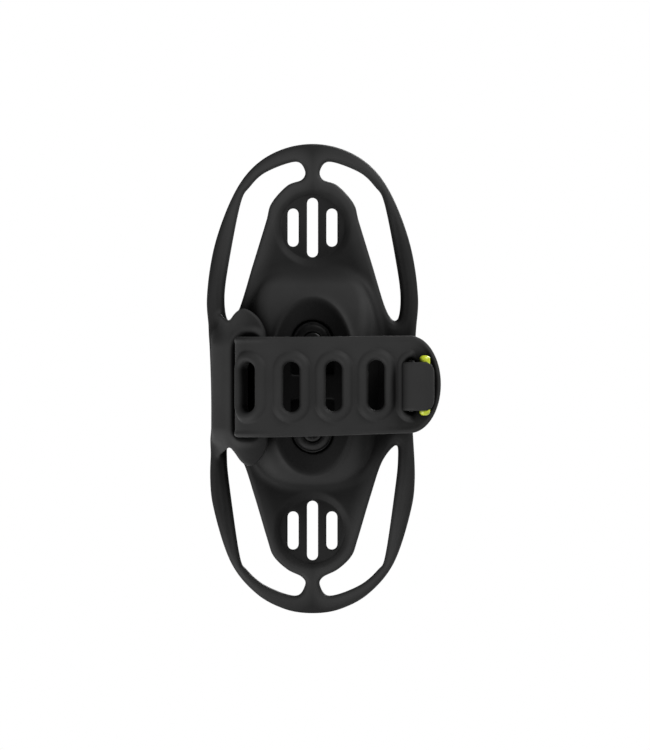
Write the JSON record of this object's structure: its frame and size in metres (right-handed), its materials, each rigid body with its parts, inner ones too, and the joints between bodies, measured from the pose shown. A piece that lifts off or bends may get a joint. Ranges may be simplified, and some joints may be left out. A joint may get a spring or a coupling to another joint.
{
  "type": "bicycle phone mount",
  "caption": "Stretchy phone mount for a bicycle: an hourglass back plate with corner loops for a phone, and a holed strap that hooks round a handlebar.",
  "frame": {"origin": "centre of the handlebar at the middle of the saddle", "axes": "+Z along the handlebar and the phone's long side, +Y towards the phone, +X towards the hook end of the strap"},
  "size_m": [0.0749, 0.0562, 0.1502],
  "materials": {
    "silicone": "matte moulded silicone, fine grain",
    "core_plastic": "black glass-filled nylon",
    "fastener_black": "satin black-coated steel",
    "insert_brass": "turned brass",
    "toggle_plastic": "yellow-green moulded plastic"
  },
  "bodies": {
    "holder": {"harness_back": "silicone", "saddle_boss": "silicone", "strap_wing": "silicone", "saddle_core": "core_plastic", "threaded_insert_upper": "insert_brass", "threaded_insert_lower": "insert_brass", "bridge_plate": "core_plastic", "flange_washer_upper": "fastener_black", "flange_washer_lower": "fastener_black", "clamp_screw_upper": "fastener_black", "clamp_screw_lower": "fastener_black", "anchor_strip": "silicone", "hook_arm": "silicone"},
    "strap": {"strap": "silicone"},
    "hook_tip": {"hook_tongue": "silicone", "toggle_bar": "toggle_plastic"},
    "loop_upper_right": {"corner_loop_upper_right": "silicone"},
    "loop_upper_left": {"corner_loop_upper_left": "silicone"},
    "loop_lower_right": {"corner_loop_lower_right": "silicone"},
    "loop_lower_left": {"corner_loop_lower_left": "silicone"}
  },
  "joints": [
    {"name": "strap_swing", "type": "hinge", "parent": "holder", "child": "strap", "pos_m": [-0.0233, 0.0045, 0], "axis": [0, 0, -1], "range_deg": [0, 100], "stiffness_Nm_per_rad": 0.01},
    {"name": "hook_release", "type": "hinge", "parent": "holder", "child": "hook_tip", "pos_m": [0.0316, -0.0209, 0], "axis": [0, 0, -1], "range_deg": [0, 85], "stiffness_Nm_per_rad": 0.0004},
    {"name": "loop_upper_right_stretch", "type": "hinge", "parent": "holder", "child": "loop_upper_right", "pos_m": [0.03042, 0.0241, 0.02497], "axis": [-0.3595, 0.0843, 0.9293], "range_deg": [0, 70], "stiffness_Nm_per_rad": 0.02},
    {"name": "loop_upper_left_stretch", "type": "hinge", "parent": "holder", "child": "loop_upper_left", "pos_m": [-0.03042, 0.0241, 0.02497], "axis": [-0.3595, -0.0843, -0.9293], "range_deg": [0, 70], "stiffness_Nm_per_rad": 0.02},
    {"name": "loop_lower_right_stretch", "type": "hinge", "parent": "holder", "child": "loop_lower_right", "pos_m": [0.02991, 0.0241, -0.02396], "axis": [0.3968, -0.0705, 0.9152], "range_deg": [0, 70], "stiffness_Nm_per_rad": 0.02},
    {"name": "loop_lower_left_stretch", "type": "hinge", "parent": "holder", "child": "loop_lower_left", "pos_m": [-0.02991, 0.0241, -0.02396], "axis": [0.3968, 0.0705, -0.9152], "range_deg": [0, 70], "stiffness_Nm_per_rad": 0.02}
  ]
}
